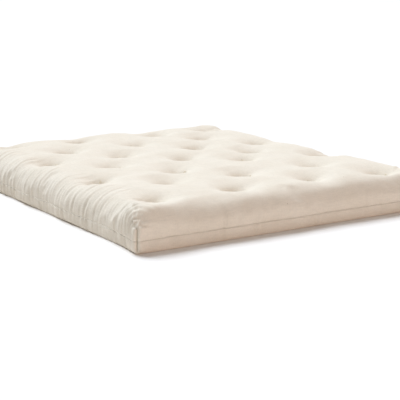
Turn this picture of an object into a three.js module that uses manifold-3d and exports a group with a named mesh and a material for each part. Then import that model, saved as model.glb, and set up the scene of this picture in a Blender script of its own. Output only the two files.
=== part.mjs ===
// A hand-tied cotton futon mattress: a calico sack of two panels, six layers of cotton batting
// and twenty-five twine ties that pull the faces together.
// Millimetres. X is the width, Y the length, Z is up. The origin is the middle of the underside.

import * as THREE from 'three';
import { mergeVertices } from 'three/addons/utils/BufferGeometryUtils.js';
import Module from 'manifold-3d';

const wasm = await Module();
wasm.setup();

// Overall sizes
const WIDTH = 1600;
const LENGTH = 1900;
const THICKNESS = 180; // over the crowns between the ties

// The sack's rounded edges
const CORNER_RADIUS = 60; // in plan
const BOTTOM_TUCK = 30; // how far the lower edge draws in to the underside
const TOP_ROLL = 105; // how far in the upper edge rolls before it is level
const TOP_SQUARENESS = 2.6; // 2 is an ellipse, more is squarer
const EDGE_DROP = 14; // the top face is this much lower at its rim than at the crowns

// Cloth, thread and clearances
const CLOTH = 0.8; // calico with its nap
const GAP = 0.3; // between pieces that touch
const THREAD = 0.8; // one lay of sewing thread
const SEAM_HEIGHT = 55; // of the seam between the panels, where the sides stand out most
const SEAM_LAND = 8; // height of the upright strip that the seam runs in
const SEAM_ALLOWANCE = 12; // cloth turned in at the seam
const OVERLOCK_WRAP = 6; // how far the overlock stitch reaches over the raw edges
const CORNER_SEAM_LOW = 8;
const CORNER_SEAM_HIGH = 104;
const CORNER_CORD = 1.4; // radius of the corner seam's drawn-up stitches
const CORNER_LIFT = 0.9; // from the cloth to that line of stitches

// Filling
const LAYERS = 6;

// Ties: four rows of four with three rows of three between them
const SIDE_MARGIN = 175; // from the long sides to the nearest ties
const END_MARGIN = 200; // from the ends to the nearest ties
const LATTICE = 7; // lines of the pattern each way, a tie on every second crossing
const TIE_DEPTH = 60; // of a dimple below the crowns
const TWINE_RADIUS = 1.5;
const NEEDLE_ROOM = 0.7; // from the twine to its needle hole's corners
const KNOT_RADIUS = 6;
const KNOT_ROOM = 1.2; // from a knot to the bottom of its dimple
const TAIL_LENGTH = 26;
const SHORT_TAIL_LENGTH = 21;
const TAIL_RADIUS = 1.1;
const TAIL_LEAN = 1; // radians from upright
const STITCH_LENGTH = 14; // of the stitch under the mattress
const UNDER_DEPTH = 10; // of the dimples in the underside
const UNDER_FLOOR = 14; // radius of such a dimple's floor
const UNDER_MOUTH = 46; // radius of its mouth

// Ties are set by hand, and these sit off the even pattern by [x, y].
const HAND_SHIFTS = {
  row1_d: [-40, -40],
  row2_a: [30, 30],
  row3_a: [-10, -30],
  row3_c: [40, 80],
  row3_d: [40, -20],
  row5_b: [-30, -20],
  row5_c: [20, 0],
  row5_d: [-30, -40],
  row7_a: [20, 40],
  row7_b: [0, 40],
  row7_c: [60, 0],
};

// Resolution of the round shapes
const CORNER_STEPS = 4;
const TOP_STEPS = 5;
const BOTTOM_STEPS = 3;
const HOLE_SIDES = 5;
const PIT_SIDES = 6;
const TAIL_SIDES = 4;
const PAST = 40; // how far a cutting solid runs past what it cuts
const TAIL_TURN = 2.4; // radians from one tie's tails to the next tie's
const TAIL_SPREAD = 2; // radians between a tie's two tails

const calico = new THREE.MeshStandardMaterial({ color: 0xebe3d3, roughness: 0.92, metalness: 0 });
const batting = new THREE.MeshStandardMaterial({ color: 0xe6dcc6, roughness: 1, metalness: 0 });
const twine = new THREE.MeshStandardMaterial({ color: 0xd9c9a4, roughness: 0.9, metalness: 0 });
const thread = new THREE.MeshStandardMaterial({ color: 0xcfc3a8, roughness: 0.8, metalness: 0 });

// Geometry to solid and back

function solid(geometry) {
  geometry.deleteAttribute('normal');
  geometry.deleteAttribute('uv');
  const merged = mergeVertices(geometry, 1e-4);
  return new wasm.Manifold(new wasm.Mesh({
    numProp: 3,
    vertProperties: new Float32Array(merged.attributes.position.array),
    triVerts: new Uint32Array(merged.index.array),
  }));
}

function geometryOf(body) {
  const mesh = body.getMesh();
  const geometry = new THREE.BufferGeometry();
  geometry.setAttribute('position', new THREE.BufferAttribute(new Float32Array(mesh.vertProperties), 3));
  geometry.setIndex(new THREE.BufferAttribute(new Uint32Array(mesh.triVerts), 1));
  geometry.computeVertexNormals();
  return geometry;
}

// A closed mesh through rings that all have the same number of points, lowest ring first.
function loft(rings) {
  const count = rings[0].length;
  const points = rings.flat();
  const faces = [];
  for (let level = 0; level + 1 < rings.length; level += 1) {
    for (let i = 0; i < count; i += 1) {
      const a = level * count + i;
      const b = level * count + (i + 1) % count;
      faces.push(a, b, b + count, a, b + count, a + count);
    }
  }
  const top = (rings.length - 1) * count;
  for (let i = 1; i + 1 < count; i += 1) {
    faces.push(0, i + 1, i);
    faces.push(top, top + i, top + i + 1);
  }
  const geometry = new THREE.BufferGeometry();
  geometry.setAttribute('position', new THREE.Float32BufferAttribute(points.flat(), 3));
  geometry.setIndex(faces);
  return solid(geometry);
}

function box(x0, x1, y0, y1, z0, z1) {
  const geometry = new THREE.BoxGeometry(x1 - x0, y1 - y0, z1 - z0);
  geometry.translate((x0 + x1) / 2, (y0 + y1) / 2, (z0 + z1) / 2);
  return solid(geometry);
}

// An upright prism, or a cone's frustum, on the point x, y.
function post(x, y, z0, z1, radius0, radius1, sides) {
  const geometry = new THREE.CylinderGeometry(radius1, radius0, z1 - z0, sides);
  geometry.rotateX(Math.PI / 2);
  geometry.translate(x, y, (z0 + z1) / 2);
  return solid(geometry);
}

// The sack's outside

const LAND_LOW = SEAM_HEIGHT - SEAM_LAND / 2;
const LAND_HIGH = SEAM_HEIGHT + SEAM_LAND / 2;

// How far the side is drawn in from the full width at height z.
function insetAt(z) {
  if (z < LAND_LOW) {
    const fall = 1 - Math.max(z, 0) / LAND_LOW;
    return BOTTOM_TUCK * (1 - Math.sqrt(1 - fall * fall));
  }
  const rise = Math.min(Math.max(z - LAND_HIGH, 0) / (THICKNESS - LAND_HIGH), 1);
  const level = Math.pow(1 - Math.pow(rise, TOP_SQUARENESS), 1 / TOP_SQUARENESS);
  return TOP_ROLL * (1 - level);
}

// The heights of the sack's rings, close together where the edges turn.
function profileHeights() {
  const heights = [];
  for (let i = 0; i <= BOTTOM_STEPS; i += 1) {
    const angle = (i / BOTTOM_STEPS) * Math.PI / 2;
    heights.push(LAND_LOW * (1 - Math.cos(angle)));
  }
  for (let i = 0; i <= TOP_STEPS; i += 1) {
    const angle = (i / TOP_STEPS) * Math.PI / 2;
    const rise = Math.pow(Math.sin(angle), 2 / TOP_SQUARENESS);
    heights.push(LAND_HIGH + (THICKNESS - LAND_HIGH) * rise);
  }
  return heights;
}

// One level outline of the sack, drawn in by inset from its full size.
function outline(inset, z) {
  const halfWidth = WIDTH / 2 - inset;
  const halfLength = LENGTH / 2 - inset;
  const radius = CORNER_RADIUS;
  const centres = [
    [halfWidth - radius, halfLength - radius],
    [radius - halfWidth, halfLength - radius],
    [radius - halfWidth, radius - halfLength],
    [halfWidth - radius, radius - halfLength],
  ];
  const ring = [];
  centres.forEach(([x, y], corner) => {
    for (let i = 0; i <= CORNER_STEPS; i += 1) {
      const angle = (corner + i / CORNER_STEPS) * Math.PI / 2;
      ring.push([x + radius * Math.cos(angle), y + radius * Math.sin(angle), z]);
    }
  });
  return ring;
}

// The sack's side surface as a solid, shrunk by skin all round.
function roundedBody(skin) {
  const heights = profileHeights();
  const rings = heights.map((z) => outline(insetAt(z) + skin, Math.max(z, skin)));
  rings.push(outline(insetAt(THICKNESS) + skin, THICKNESS + PAST));
  return loft(rings);
}

// A flat ring round the sack's outline, from outer to inner depth under the surface.
function band(outer, inner, z0, z1) {
  const whole = loft([outline(outer, z0), outline(outer, z1)]);
  const hole = loft([outline(inner, z0 - 1), outline(inner, z1 + 1)]);
  return whole.subtract(hole);
}

// The ties' pattern

const hasTie = (column, row) => (column + row) % 2 === 0;

function tieName(column, row) {
  const letter = 'abcd'[Math.floor(column / 2)];
  return `row${row + 1}_${letter}`;
}

function latticePoint(column, row) {
  const pitchX = (WIDTH - 2 * SIDE_MARGIN) / (LATTICE - 1);
  const pitchY = (LENGTH - 2 * END_MARGIN) / (LATTICE - 1);
  const inside = (line) => line >= 0 && line < LATTICE;
  const reach = (line, pitch, half) => {
    if (inside(line)) {
      return (line - (LATTICE - 1) / 2) * pitch;
    }
    return Math.sign(line) * (half + PAST);
  };
  const x = reach(column, pitchX, WIDTH / 2);
  const y = reach(row, pitchY, LENGTH / 2);
  const tied = inside(column) && inside(row) && hasTie(column, row);
  const [dx, dy] = (tied && HAND_SHIFTS[tieName(column, row)]) || [0, 0];
  return { x: x + dx, y: y + dy, tied, rim: !(inside(column) && inside(row)) };
}

const ties = [];
for (let row = 0; row < LATTICE; row += 1) {
  for (let column = 0; column < LATTICE; column += 1) {
    if (hasTie(column, row)) {
      ties.push({ name: `tuft_tie_${tieName(column, row)}`, ...latticePoint(column, row) });
    }
  }
}

// Everything under one of the surfaces between underside (share 0) and top (share 1). Each surface
// is high at the crowns and low at the ties, in proportion to how far up it lies.
function under(share, lift) {
  const bottom = -PAST;
  const height = (point) => {
    if (point.tied) {
      return UNDER_DEPTH + (THICKNESS - TIE_DEPTH - UNDER_DEPTH) * share + lift;
    }
    return (THICKNESS - (point.rim ? EDGE_DROP : 0)) * share + lift;
  };
  const lines = LATTICE + 2;
  const upper = [];
  const lower = [];
  for (let row = -1; row <= LATTICE; row += 1) {
    for (let column = -1; column <= LATTICE; column += 1) {
      const point = latticePoint(column, row);
      upper.push([point.x, point.y, height(point)]);
      lower.push([point.x, point.y, bottom]);
    }
  }
  const faces = [];
  const base = upper.length;
  const at = (i, j) => j * lines + i;
  for (let j = 0; j + 1 < lines; j += 1) {
    for (let i = 0; i + 1 < lines; i += 1) {
      const [a, b, c, d] = [at(i, j), at(i + 1, j), at(i + 1, j + 1), at(i, j + 1)];
      // The ridge runs from crown to crown across the cell.
      const halves = hasTie(i, j) ? [[a, b, d], [b, c, d]] : [[a, b, c], [a, c, d]];
      for (const [p, q, r] of halves) {
        faces.push(p, q, r);
        faces.push(base + p, base + r, base + q);
      }
    }
  }
  const wall = (p, q) => faces.push(p, base + p, base + q, p, base + q, q);
  const last = lines - 1;
  for (let k = 0; k < last; k += 1) {
    wall(at(k, 0), at(k + 1, 0));
    wall(at(last, k), at(last, k + 1));
    wall(at(k + 1, last), at(k, last));
    wall(at(0, k + 1), at(0, k));
  }
  const geometry = new THREE.BufferGeometry();
  geometry.setAttribute('position', new THREE.Float32BufferAttribute([...upper, ...lower].flat(), 3));
  geometry.setIndex(faces);
  return solid(geometry);
}

// The sack's whole volume, shrunk by skin on every side: top, sides, underside and its dimples.
function sackBody(skin) {
  let body = roundedBody(skin).intersect(under(1, -skin));
  for (const tie of ties) {
    const flare = (UNDER_MOUTH - UNDER_FLOOR) / UNDER_DEPTH;
    const foot = UNDER_MOUTH + flare + skin;
    const floor = UNDER_FLOOR + skin;
    body = body.subtract(post(tie.x, tie.y, skin - 1, UNDER_DEPTH + skin, foot, floor, PIT_SIDES));
  }
  return body;
}

// The body with a needle hole through it at every tie.
function pierced(body) {
  const radius = TWINE_RADIUS + NEEDLE_ROOM;
  const hole = (tie) => post(tie.x, tie.y, -PAST, THICKNESS + PAST, radius, radius, HOLE_SIDES);
  return ties.reduce((left, tie) => left.subtract(hole(tie)), body);
}

// The pieces

const mattress = new THREE.Group();

function addPiece(name, body, material) {
  const mesh = new THREE.Mesh(geometryOf(body), material);
  mesh.name = name;
  mattress.add(mesh);
}

// The two calico panels meet at the seam, each with its edge turned in.
function addCover() {
  const skin = pierced(sackBody(0).subtract(sackBody(CLOTH)));
  const far = WIDTH + LENGTH;
  const above = box(-far, far, -far, far, SEAM_HEIGHT + GAP / 2, THICKNESS + PAST);
  const below = box(-far, far, -far, far, -PAST, SEAM_HEIGHT - GAP / 2);
  const turnedUpper = band(CLOTH / 2, SEAM_ALLOWANCE, SEAM_HEIGHT + GAP / 2, SEAM_HEIGHT + GAP / 2 + CLOTH);
  const turnedLower = band(CLOTH / 2, SEAM_ALLOWANCE, SEAM_HEIGHT - GAP / 2 - CLOTH, SEAM_HEIGHT - GAP / 2);
  addPiece('cover_top_panel', skin.intersect(above).add(turnedUpper), calico);
  addPiece('cover_bottom_panel', skin.intersect(below).add(turnedLower), calico);
}

const OVERLOCK_HALF = GAP / 2 + CLOTH + GAP + THREAD; // half the overlocked edge's height

// Overlock stitching grips both turned-in edges. It is sewn in four lengths, and the front one
// closes the sack after filling.
function addSeams() {
  const edge = band(
    SEAM_ALLOWANCE - OVERLOCK_WRAP,
    SEAM_ALLOWANCE + GAP + THREAD,
    SEAM_HEIGHT - OVERLOCK_HALF,
    SEAM_HEIGHT + OVERLOCK_HALF,
  );
  const slot = band(
    SEAM_ALLOWANCE - OVERLOCK_WRAP - 1,
    SEAM_ALLOWANCE + GAP,
    SEAM_HEIGHT - OVERLOCK_HALF + THREAD,
    SEAM_HEIGHT + OVERLOCK_HALF - THREAD,
  );
  const stitching = edge.subtract(slot);
  const low = SEAM_HEIGHT - PAST;
  const high = SEAM_HEIGHT + PAST;
  const endX = WIDTH / 2 + PAST;
  const endY = LENGTH / 2 + PAST;
  const split = LENGTH / 2 - CORNER_RADIUS;
  const half = GAP / 2;
  const cut = (x0, x1, y0, y1) => stitching.intersect(box(x0, x1, y0, y1, low, high));
  addPiece('seam_front_closing', cut(-endX, endX, -endY, -split - half), thread);
  addPiece('seam_back', cut(-endX, endX, split + half, endY), thread);
  addPiece('seam_left', cut(-endX, 0, half - split, split - half), thread);
  addPiece('seam_right', cut(0, endX, half - split, split - half), thread);
}

// A drawn-up line of stitches climbs each corner, just proud of the cloth.
function addCornerSeams() {
  const heights = profileHeights().filter((z) => z > CORNER_SEAM_LOW && z < CORNER_SEAM_HIGH);
  const levels = [CORNER_SEAM_LOW, ...heights, CORNER_SEAM_HIGH];
  const proud = CORNER_CORD + CORNER_LIFT;
  const names = ['back_right', 'back_left', 'front_left', 'front_right'];
  names.forEach((name, corner) => {
    const angle = (corner + 0.5) * Math.PI / 2;
    const out = new THREE.Vector3(Math.cos(angle), Math.sin(angle), 0);
    const side = new THREE.Vector3(-out.y, out.x, 0);
    const rings = levels.map((z) => {
      const inset = insetAt(z);
      const centre = new THREE.Vector3(
        Math.sign(out.x) * (WIDTH / 2 - inset - CORNER_RADIUS),
        Math.sign(out.y) * (LENGTH / 2 - inset - CORNER_RADIUS),
        z,
      ).addScaledVector(out, CORNER_RADIUS + proud);
      const ring = [];
      for (let i = 0; i < HOLE_SIDES; i += 1) {
        const turn = (i / HOLE_SIDES) * 2 * Math.PI;
        const point = centre.clone()
          .addScaledVector(out, CORNER_CORD * Math.cos(turn))
          .addScaledVector(side, CORNER_CORD * Math.sin(turn));
        ring.push(point.toArray());
      }
      return ring;
    });
    addPiece(`corner_seam_${name}`, loft(rings), thread);
  });
}

// Batting layers share the space inside the cover, each pinched at the ties, with the edge of the
// seam let into the ones it reaches.
function addBatting() {
  const core = sackBody(CLOTH + GAP);
  const room = band(
    -CLOTH,
    SEAM_ALLOWANCE + 2 * GAP + THREAD,
    SEAM_HEIGHT - OVERLOCK_HALF - GAP,
    SEAM_HEIGHT + OVERLOCK_HALF + GAP,
  );
  const filling = pierced(core.subtract(room));
  for (let layer = 1; layer <= LAYERS; layer += 1) {
    let piece = filling;
    if (layer < LAYERS) {
      piece = piece.intersect(under(layer / LAYERS, -GAP / 2));
    }
    if (layer > 1) {
      piece = piece.subtract(under((layer - 1) / LAYERS, GAP / 2));
    }
    addPiece(`batting_layer_${layer}`, piece, batting);
  }
}

// One cut end of twine, rising from the knot and leaning over to one side.
function tail(x, y, z, angle, length) {
  const rings = [0, length].map((reach) => {
    const cx = x + Math.cos(angle) * reach * Math.sin(TAIL_LEAN);
    const cy = y + Math.sin(angle) * reach * Math.sin(TAIL_LEAN);
    const cz = z + reach * Math.cos(TAIL_LEAN);
    const ring = [];
    for (let i = 0; i < TAIL_SIDES; i += 1) {
      const turn = (i / TAIL_SIDES) * 2 * Math.PI;
      ring.push([cx + TAIL_RADIUS * Math.cos(turn), cy + TAIL_RADIUS * Math.sin(turn), cz]);
    }
    return ring;
  });
  return loft(rings);
}

// A tie is one length of twine: a stitch below, the shank through the needle hole, a knot in the
// dimple and two cut tails.
function addTies() {
  const stitchZ = UNDER_DEPTH - GAP - TWINE_RADIUS;
  const knotZ = THICKNESS - TIE_DEPTH + KNOT_RADIUS + KNOT_ROOM;
  ties.forEach((tie, index) => {
    const turn = index * TAIL_TURN;
    const stitch = new THREE.CylinderGeometry(TWINE_RADIUS, TWINE_RADIUS, STITCH_LENGTH, HOLE_SIDES);
    stitch.rotateZ(turn);
    stitch.translate(tie.x, tie.y, stitchZ);
    const knot = new THREE.IcosahedronGeometry(KNOT_RADIUS, 0);
    knot.scale(1, 1, 0.8);
    knot.translate(tie.x, tie.y, knotZ);
    const shank = post(tie.x, tie.y, stitchZ, knotZ, TWINE_RADIUS, TWINE_RADIUS, HOLE_SIDES);
    const body = shank
      .add(solid(stitch))
      .add(solid(knot))
      .add(tail(tie.x, tie.y, knotZ, turn, TAIL_LENGTH))
      .add(tail(tie.x, tie.y, knotZ, turn + TAIL_SPREAD, SHORT_TAIL_LENGTH));
    addPiece(tie.name, body, twine);
  });
}

addCover();
addSeams();
addCornerSeams();
addBatting();
addTies();

export default mattress;
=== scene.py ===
import math

import bpy
import numpy as np
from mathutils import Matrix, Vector


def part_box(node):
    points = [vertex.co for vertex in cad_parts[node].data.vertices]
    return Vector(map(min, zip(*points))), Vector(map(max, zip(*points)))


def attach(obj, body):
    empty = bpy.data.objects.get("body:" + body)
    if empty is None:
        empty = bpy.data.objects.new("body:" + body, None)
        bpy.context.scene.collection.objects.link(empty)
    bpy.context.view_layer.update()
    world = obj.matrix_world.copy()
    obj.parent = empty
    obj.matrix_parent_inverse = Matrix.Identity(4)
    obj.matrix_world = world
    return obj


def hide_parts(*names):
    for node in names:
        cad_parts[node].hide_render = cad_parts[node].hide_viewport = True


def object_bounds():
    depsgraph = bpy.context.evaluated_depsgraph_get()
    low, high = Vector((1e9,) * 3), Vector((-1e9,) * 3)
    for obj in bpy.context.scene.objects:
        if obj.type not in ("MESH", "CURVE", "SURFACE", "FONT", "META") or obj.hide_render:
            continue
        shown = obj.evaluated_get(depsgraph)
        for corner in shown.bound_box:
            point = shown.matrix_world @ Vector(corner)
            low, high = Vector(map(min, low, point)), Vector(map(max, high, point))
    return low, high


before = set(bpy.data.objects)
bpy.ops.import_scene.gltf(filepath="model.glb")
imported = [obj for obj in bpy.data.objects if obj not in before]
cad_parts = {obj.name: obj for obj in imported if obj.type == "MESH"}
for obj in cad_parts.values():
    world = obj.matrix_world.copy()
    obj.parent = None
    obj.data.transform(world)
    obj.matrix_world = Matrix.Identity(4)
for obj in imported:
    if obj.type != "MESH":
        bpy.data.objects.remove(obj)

cad_low, cad_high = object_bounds()

# A hand-tied cotton futon mattress: a calico sack of two panels, filled with layers of carded
# cotton batting and tied through with twine. Metres, Z up, the underside on z = 0.

HALF_X = cad_high.x
HALF_Y = cad_high.y
CROWN = cad_high.z
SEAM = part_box("cover_top_panel")[0].z
CORNER_LOW, CORNER_HIGH = (corner.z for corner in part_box("corner_seam_front_left"))
LAYERS = [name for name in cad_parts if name.startswith("batting_layer_")]
TIES = sorted(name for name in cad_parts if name.startswith("tuft_tie_"))

# The sack's shape
ROLL_SIDE = 0.128  # the long sides roll over this far in
ROLL_END = 0.105  # the short ends stand steeper
ROLL_POWER = 2.1  # 2 is an ellipse
CORNER_FULL = 0.42  # the filling is pushed up into the corners: less roll by this share there
CORNER_SPAN = 0.16  # fading out over this distance
RIM_DROP = 0.004  # the top's rim lies this much under the crowns
RIM_RISE = 0.12  # and comes up over this distance
PLAN_TOP = 0.060  # corner radius in plan where the top begins
PLAN_SEAM = 0.012  # and at the seam, where the corner is drawn sharp
TUCK = 0.011  # the lower edge draws in this far to the underside
TUCK_POWER = 1.4  # the higher, the longer the side stays upright before it does
FUNNEL = 0.074  # depth of the narrow pull at a tie
FUNNEL_REACH = 0.050
FUNNEL_POWER = 1.28  # 1 ends in a point, 2 in a bowl
PILLOW = 0.006  # depth of the wide pull, which rounds the cloth between ties
PILLOW_REACH = 0.105
LOFT = 0.005  # fresh cotton stands this much over the nominal crown
TAUT = 0.008  # what would stand higher than this over it is held back by the ties,
HELD_BACK = 0.6  # by this share
UNDER_DIMPLE = 0.010  # depth of the dimples round the stitches below
UNDER_REACH = 0.026
UNDER_POWER = 1.6
ALLOWANCE = (0.003, 0.012)  # how far in the two folds of a panel's turned-in edge lie
ALLOWANCE_RISE = 0.0015  # and how far apart the two panels' edges end, from the seam

BATTING_ROOM = 0.012  # left between the filling and the cloth above
SIDE_ROOM = 0.020  # and beside it, where the gathers are
CORNER_PUSH = (0.014, -0.006)  # the filling pushes the corners out sideways

CLOTH_SEED, CORNER_SEED, CREASE_SEED, TWINE_SEED, STITCH_SEED, SHEET_SEED = 5, 31, 41, 700, 77, 300

# Mesh fineness
TOP_NX, TOP_NY = 168, 330
SIDE_LEVELS = 40
CLOTH_X, CLOTH_Y, CLOTH_LEVEL = 2, 3, 2  # the cloth simulation uses every so many lines of it
CLOTH_FRAMES = 20
CLOTH_CAP = 0.007  # and moves no point further than this
CLOTH_HELD, CLOTH_FREE = 0.018, 0.045  # the cloth is held this near a tie, and free from there on
SEAM_FREE = 0.05  # it is free to swell from this far above the seam
UNDER_LEVELS = 9
CORNER_TIGHT = 0.72  # the mesh's steps are this share shorter at a corner,
CORNER_STEPS = 14  # and get back to full length over about three times this many
ROLL_SAMPLES = 400
CLOSER = 1.4  # levels lie closer by this much around the corner seams' tops,
CLOSER_AT = 0.62  # which are this share of the way down the roll
CLOSER_SPAN = 0.13


def smooth(low, high, value):
    """0 below low, 1 above high, and a soft step between."""
    t = np.clip((value - low) / (high - low), 0.0, 1.0)
    return t * t * (3 - 2 * t)


def ripple(points, wavelength, seed, waves=14):
    """Soft random undulation of about unit size over points, with no direction of its own."""
    rng = np.random.default_rng(seed)
    total = np.zeros(len(points))
    for _ in range(waves):
        heading = rng.normal(size=3)
        heading /= np.linalg.norm(heading)
        length = wavelength * rng.uniform(0.7, 1.6)
        total += np.cos(points @ heading * (2 * math.pi / length) + rng.uniform(0, 2 * math.pi))
    return total * math.sqrt(2 / waves)


# Where the ties are


def tie_axis(name):
    """The x and y of a tie's shank: the middle of the stitch at its foot."""
    points = np.array([v.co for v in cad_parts[name].data.vertices])
    stitch_height = 0.004
    foot = points[points[:, 2] < points[:, 2].min() + stitch_height]
    return (foot.min(0) + foot.max(0))[:2] / 2


TIE_AT = {name: tie_axis(name) for name in TIES}
TIE_POINTS = np.array([TIE_AT[name] for name in TIES])


def funnel(distance):
    """The narrow pull's share of its full depth, at a distance from a tie."""
    return np.exp(-((distance / FUNNEL_REACH) ** FUNNEL_POWER))


def pillow(distance):
    """The same for the wide pull."""
    return np.exp(-((distance / PILLOW_REACH) ** 2))


def tie_distances(x, y):
    """The distance from each point to each tie."""
    return np.hypot(x[:, None] - TIE_POINTS[None, :, 0], y[:, None] - TIE_POINTS[None, :, 1])


def shares(kernel):
    """Weights that make the ties' overlapping pulls come to 1 at every tie."""
    apart = tie_distances(TIE_POINTS[:, 0], TIE_POINTS[:, 1])
    return np.linalg.solve(kernel(apart), np.ones(len(TIES)))


FUNNEL_SHARES = shares(funnel)
PILLOW_SHARES = shares(pillow)


def dimple_depth(x, y):
    """Depth of the top's dimples at x, y."""
    distance = tie_distances(x, y)
    return FUNNEL * (funnel(distance) @ FUNNEL_SHARES) + PILLOW * (pillow(distance) @ PILLOW_SHARES)


def crown_sag():
    """How far the pulls together lower a crown, midway between ties."""
    middle = np.array([0.5 * (TIE_AT["tuft_tie_row3_b"] + TIE_AT["tuft_tie_row5_b"])])
    return float(dimple_depth(middle[:, 0], middle[:, 1])[0])


def under_depth(x, y):
    """Height of the underside's dimples at x, y."""
    near = np.exp(-((tie_distances(x, y) / UNDER_REACH) ** UNDER_POWER))
    return UNDER_DIMPLE * near.max(axis=1)


# Outlines


def spread(count):
    """Steps from 0 to 1, close together at both ends, where the corners need fine mesh."""
    place = np.arange(count)
    near_ends = np.exp(-place / CORNER_STEPS) + np.exp(-(count - 1 - place) / CORNER_STEPS)
    step = 1 - CORNER_TIGHT * near_ends
    along = np.concatenate([[0], np.cumsum(step)])
    return along[:-1] / along[-1]


def outline(half_x, half_y, radius, count_x, count_y):
    """Points round a rounded rectangle: front, right, back and left, each from the middle of one
    corner to the middle of the next."""
    arc = radius * math.pi / 4
    points = []
    sides = [
        (half_x, half_y, 0.0, count_x),
        (half_y, half_x, math.pi / 2, count_y),
        (half_x, half_y, math.pi, count_x),
        (half_y, half_x, math.pi * 1.5, count_y),
    ]
    for along, out, turn, count in sides:
        straight = 2 * (along - radius)
        travel = spread(count) * (straight + 2 * arc)
        u = np.clip(travel - arc, 0, straight) - straight / 2
        past = np.where(travel < arc, travel - arc, np.maximum(travel - arc - straight, 0))
        angle = past / radius
        px = u + radius * np.sin(angle)
        py = -(out - radius) - radius * np.cos(angle)
        c, s = math.cos(turn), math.sin(turn)
        points.append(np.stack([c * px - s * py, s * px + c * py], axis=1))
    return np.concatenate(points)


def corner_push(points):
    """Where the filling pushes points to, near the corners."""
    share = near_corner(points)[:, None] ** 2
    return points[:, :2] + share * np.sign(points[:, :2]) * CORNER_PUSH


def near_corner(points):
    """1 at the sack's corners and 0 away from them."""
    away = np.maximum(HALF_X - np.abs(points[:, 0]), HALF_Y - np.abs(points[:, 1]))
    return np.exp(-((away / CORNER_SPAN) ** 2))


def filled_outline(ring, count_x, count_y):
    """A grid of x, y that fills an outline, blended from its four sides."""
    front = ring[: count_x + 1]
    right = ring[count_x : count_x + count_y + 1]
    back = ring[count_x + count_y : 2 * count_x + count_y + 1][::-1]
    left = np.concatenate([ring[2 * count_x + count_y :], ring[:1]])[::-1]
    u = np.linspace(0, 1, count_x + 1)[None, :, None]
    v = np.linspace(0, 1, count_y + 1)[:, None, None]
    ruled_v = (1 - v) * front[None] + v * back[None]
    ruled_u = (1 - u) * left[:, None] + u * right[:, None]
    corners = (1 - u) * (1 - v) * front[0] + u * (1 - v) * front[-1]
    corners = corners + u * v * back[-1] + (1 - u) * v * back[0]
    return ruled_v + ruled_u - corners


def rim_indices(count_x, count_y):
    """The grid's rim in the outline's order."""
    wide = count_x + 1
    front = list(range(count_x))
    right = [j * wide + count_x for j in range(count_y)]
    back = [count_y * wide + count_x - i for i in range(count_x)]
    left = [(count_y - j) * wide for j in range(count_y)]
    return np.array(front + right + back + left)


def roll_table(levels):
    """For each level, from the flat top down to the upright side: its share of the roll, its share
    of the height, and the way up the cloth to it from the seam."""
    angle = np.linspace(math.pi / 2, 0, ROLL_SAMPLES)
    inset = 1 - np.cos(angle) ** (2 / ROLL_POWER)
    height = np.sin(angle) ** (2 / ROLL_POWER)
    steps = np.hypot(np.diff(inset) * (ROLL_SIDE + ROLL_END) / 2, np.diff(height) * (CROWN - SEAM))
    along = np.concatenate([[0], np.cumsum(steps)])
    where = np.linspace(0, 1, ROLL_SAMPLES)
    pace = 1 + CLOSER * np.exp(-(((where - CLOSER_AT) / CLOSER_SPAN) ** 2))
    fine = np.concatenate([[0], np.cumsum((pace[1:] + pace[:-1]) / 2)])
    wanted = along[-1] * np.interp(np.linspace(0, fine[-1], levels + 1), fine, where)
    return np.interp(wanted, along, inset), np.interp(wanted, along, height), along[-1] - wanted


ROLL_LENGTH = roll_table(4)[2][0]


def panel_faces(count_x, count_y, levels, down):
    """Quads of a grid with a skirt of rings, which hangs down from its rim or stands up on it."""
    wide = count_x + 1
    grid = (count_x + 1) * (count_y + 1)
    faces = []
    for j in range(count_y):
        for i in range(count_x):
            a = j * wide + i
            faces.append((a, a + 1, a + wide + 1, a + wide))
    rim = rim_indices(count_x, count_y)
    count = len(rim)
    above = rim
    for level in range(levels):
        below = grid + level * count + np.arange(count)
        for k in range(count):
            n = (k + 1) % count
            faces.append((int(above[k]), int(below[k]), int(below[n]), int(above[n])))
        above = below
    if not down:
        faces = [tuple(reversed(face)) for face in faces]
    return faces


def make_mesh(name, points, faces):
    """A smooth piece of the scene from points and faces."""
    mesh = bpy.data.meshes.new(name)
    mesh.from_pydata(points.tolist(), [], faces)
    mesh.polygons.foreach_set("use_smooth", [True] * len(mesh.polygons))
    mesh.update()
    piece = bpy.data.objects.new(name, mesh)
    bpy.context.scene.collection.objects.link(piece)
    return piece


def normals_of(mesh):
    normals = np.zeros(len(mesh.vertices) * 3)
    mesh.vertices.foreach_get("normal", normals)
    return normals.reshape(-1, 3)


def places_of(mesh):
    places = np.zeros(len(mesh.vertices) * 3)
    mesh.vertices.foreach_get("co", places)
    return places.reshape(-1, 3)


def put_places(mesh, places):
    mesh.vertices.foreach_set("co", places.ravel())
    mesh.update()


# Creases, gathers and puckers. Each is a displacement along the cloth's own normal, in metres.


def fold(x):
    """One fold across its line: a narrow valley with a softer ridge beside it."""
    return -np.exp(-(x**2)) + 0.75 * np.exp(-(((x - 1.7) / 1.25) ** 2))


CORNER_CLEAR = 0.06  # an edge's folds stop this far from a corner
CROWDED = 0.6  # and lie closer together within this distance of it


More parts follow.
